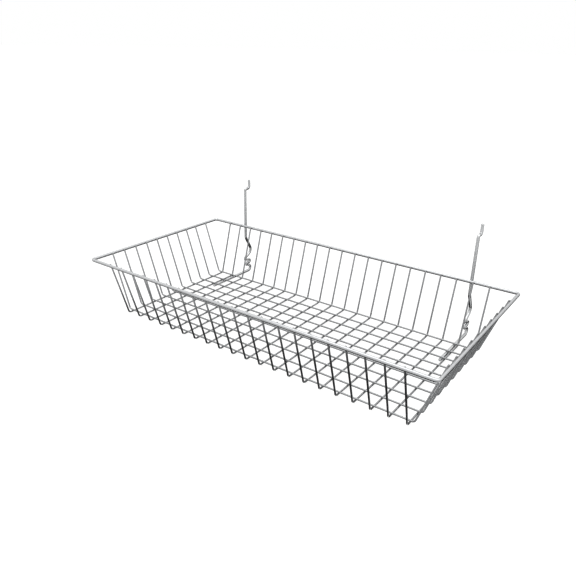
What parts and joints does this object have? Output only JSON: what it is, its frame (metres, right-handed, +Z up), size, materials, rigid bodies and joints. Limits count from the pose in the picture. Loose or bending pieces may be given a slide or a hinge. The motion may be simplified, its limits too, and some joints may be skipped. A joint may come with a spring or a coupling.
{
  "type": "hanging wire basket",
  "caption": "Shallow open-top tray of welded chrome wire with outward-sloping walls, a thick rim, and bent hook wires at the back that hang on a pegboard or grid panel.",
  "frame": {"origin": "bottom centre of the whole object's box, level with the undersides of the hook legs", "axes": "+X along the basket towards its right end, +Y back towards the panel that it hangs on, +Z up"},
  "size_m": [0.6096, 0.324, 0.188],
  "materials": {
    "rim_chrome": "bright chrome plate on drawn wire",
    "grid_chrome": "bright chrome plate on thin drawn wire, dull at the welds",
    "hook_chrome": "bright chrome plate on drawn wire"
  },
  "bodies": {
    "root": {"cross_wire_01": "grid_chrome", "cross_wire_02": "grid_chrome", "cross_wire_03": "grid_chrome", "cross_wire_04": "grid_chrome", "cross_wire_05": "grid_chrome", "cross_wire_06": "grid_chrome", "cross_wire_07": "grid_chrome", "cross_wire_08": "grid_chrome", "cross_wire_09": "grid_chrome", "cross_wire_10": "grid_chrome", "cross_wire_11": "grid_chrome", "cross_wire_12": "grid_chrome", "cross_wire_13": "grid_chrome", "cross_wire_14": "grid_chrome", "cross_wire_15": "grid_chrome", "cross_wire_16": "grid_chrome", "cross_wire_17": "grid_chrome", "cross_wire_18": "grid_chrome", "cross_wire_19": "grid_chrome", "cross_wire_20": "grid_chrome", "cross_wire_21": "grid_chrome", "hook_left": "hook_chrome", "hook_right": "hook_chrome", "long_wire_01": "grid_chrome", "long_wire_02": "grid_chrome", "long_wire_03": "grid_chrome", "long_wire_04": "grid_chrome", "long_wire_05": "grid_chrome", "long_wire_06": "grid_chrome", "long_wire_07": "grid_chrome", "long_wire_08": "grid_chrome", "long_wire_09": "grid_chrome", "long_wire_10": "grid_chrome", "rim_wire": "rim_chrome"}
  },
  "joints": []
}
